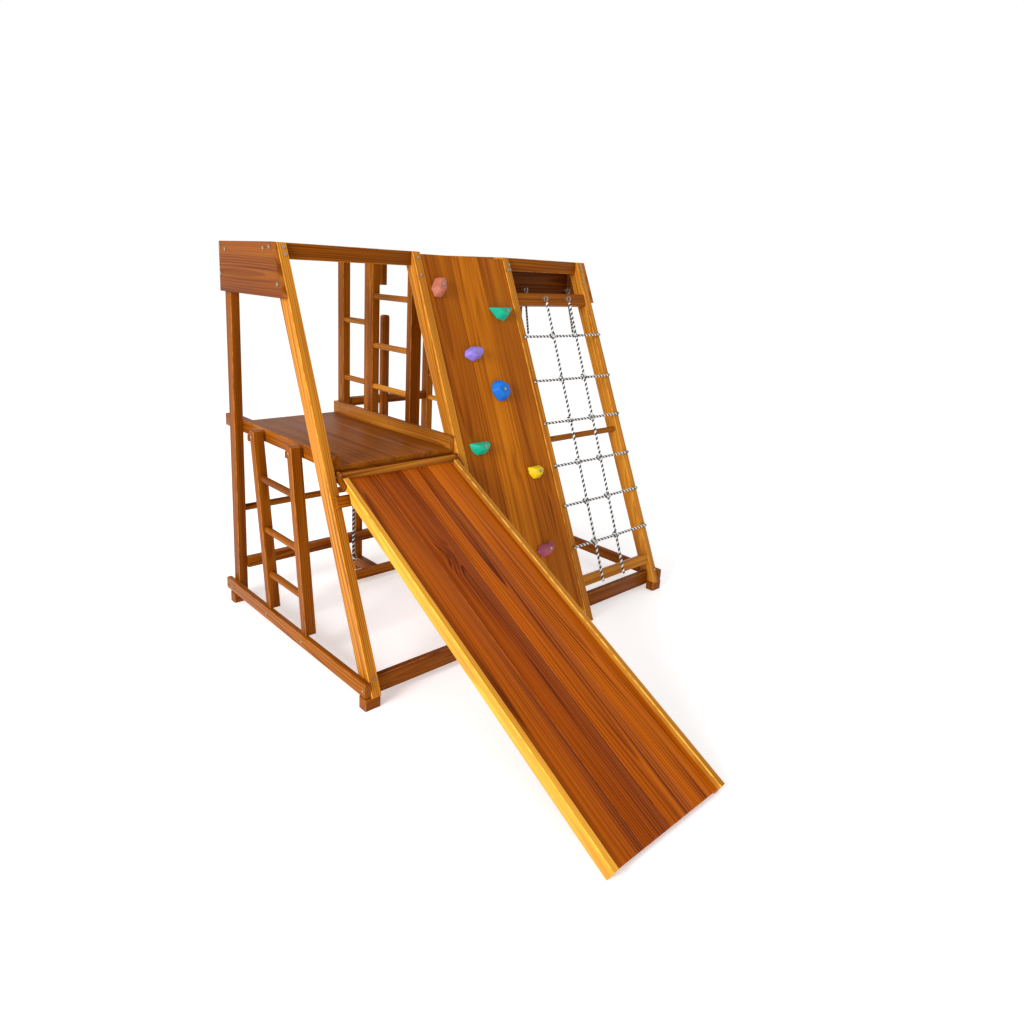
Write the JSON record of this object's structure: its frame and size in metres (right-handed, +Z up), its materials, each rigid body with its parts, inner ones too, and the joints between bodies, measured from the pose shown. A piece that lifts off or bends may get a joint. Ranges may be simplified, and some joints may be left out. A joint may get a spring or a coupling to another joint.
{
  "type": "toddler slide",
  "caption": "Indoor wooden climbing frame with a hinged toddler slide, raised platform, sloping climbing wall, rope net and side ladder.",
  "frame": {"origin": "on the floor, under the middle of the whole object", "axes": "+X along the top rail, from the slide towards the net; +Y from the slide's foot to the back; +Z up"},
  "size_m": [1.6082, 2.14, 1.47],
  "materials": {
    "wood": "satin varnish",
    "slide_wood": "gloss varnish",
    "steel": "satin",
    "rope": "black and white twist",
    "hold_pink": "satin",
    "holds_teal": "satin",
    "hold_lavender": "satin",
    "hold_blue": "satin",
    "hold_yellow": "satin",
    "hold_magenta": "satin"
  },
  "bodies": {
    "frame": {"back_bar": "wood", "back_posts": "wood", "back_rails_low": "wood", "bottom_rails_front": "wood", "cross_rails_top": "wood", "deck_beam": "wood", "deck_bearers": "wood", "deck_kerb": "wood", "deck_planks": "wood", "drop_knot": "rope", "drop_rope": "rope", "end_panel_left": "wood", "end_panel_right": "wood", "feet": "wood", "frame_bolts": "steel", "hold_blue": "hold_blue", "hold_bolts": "steel", "hold_lavender": "hold_lavender", "hold_magenta": "hold_magenta", "hold_pink": "hold_pink", "hold_yellow": "hold_yellow", "holds_teal": "holds_teal", "inner_posts": "wood", "ladder_packers": "wood", "ladder_rungs": "wood", "ladder_stiles": "wood", "leg_1": "wood", "leg_2": "wood", "leg_3": "wood", "leg_4": "wood", "lower_post": "wood", "net_bottom_bar": "wood", "net_middle_bar": "wood", "net_rear_board": "wood", "net_top_bar": "wood", "rear_posts": "wood", "rear_rails": "wood", "rope_hooks": "steel", "rope_staples": "steel", "rope_stays": "rope", "ropes_across": "rope", "ropes_down": "rope", "rung_post_front": "wood", "rung_posts": "wood", "side_rail_left": "wood", "side_rail_right": "wood", "slide_pins": "steel", "small_screws": "steel", "support_bar": "wood", "top_rail_back": "wood", "top_rails_front": "wood", "wall_battens": "wood", "wall_boards": "wood", "wall_rungs": "wood"},
    "slide": {"slide_rail_left": "wood", "slide_rail_right": "wood", "slide_bed": "slide_wood", "slide_battens": "wood", "slide_crossbar": "wood", "slide_hooks": "wood"}
  },
  "joints": [
    {"name": "slide_lift", "type": "hinge", "parent": "frame", "child": "slide", "pos_m": [-0.48, 0.186, 0.708], "axis": [-1, 0, 0], "range_deg": [0, 30]}
  ]
}
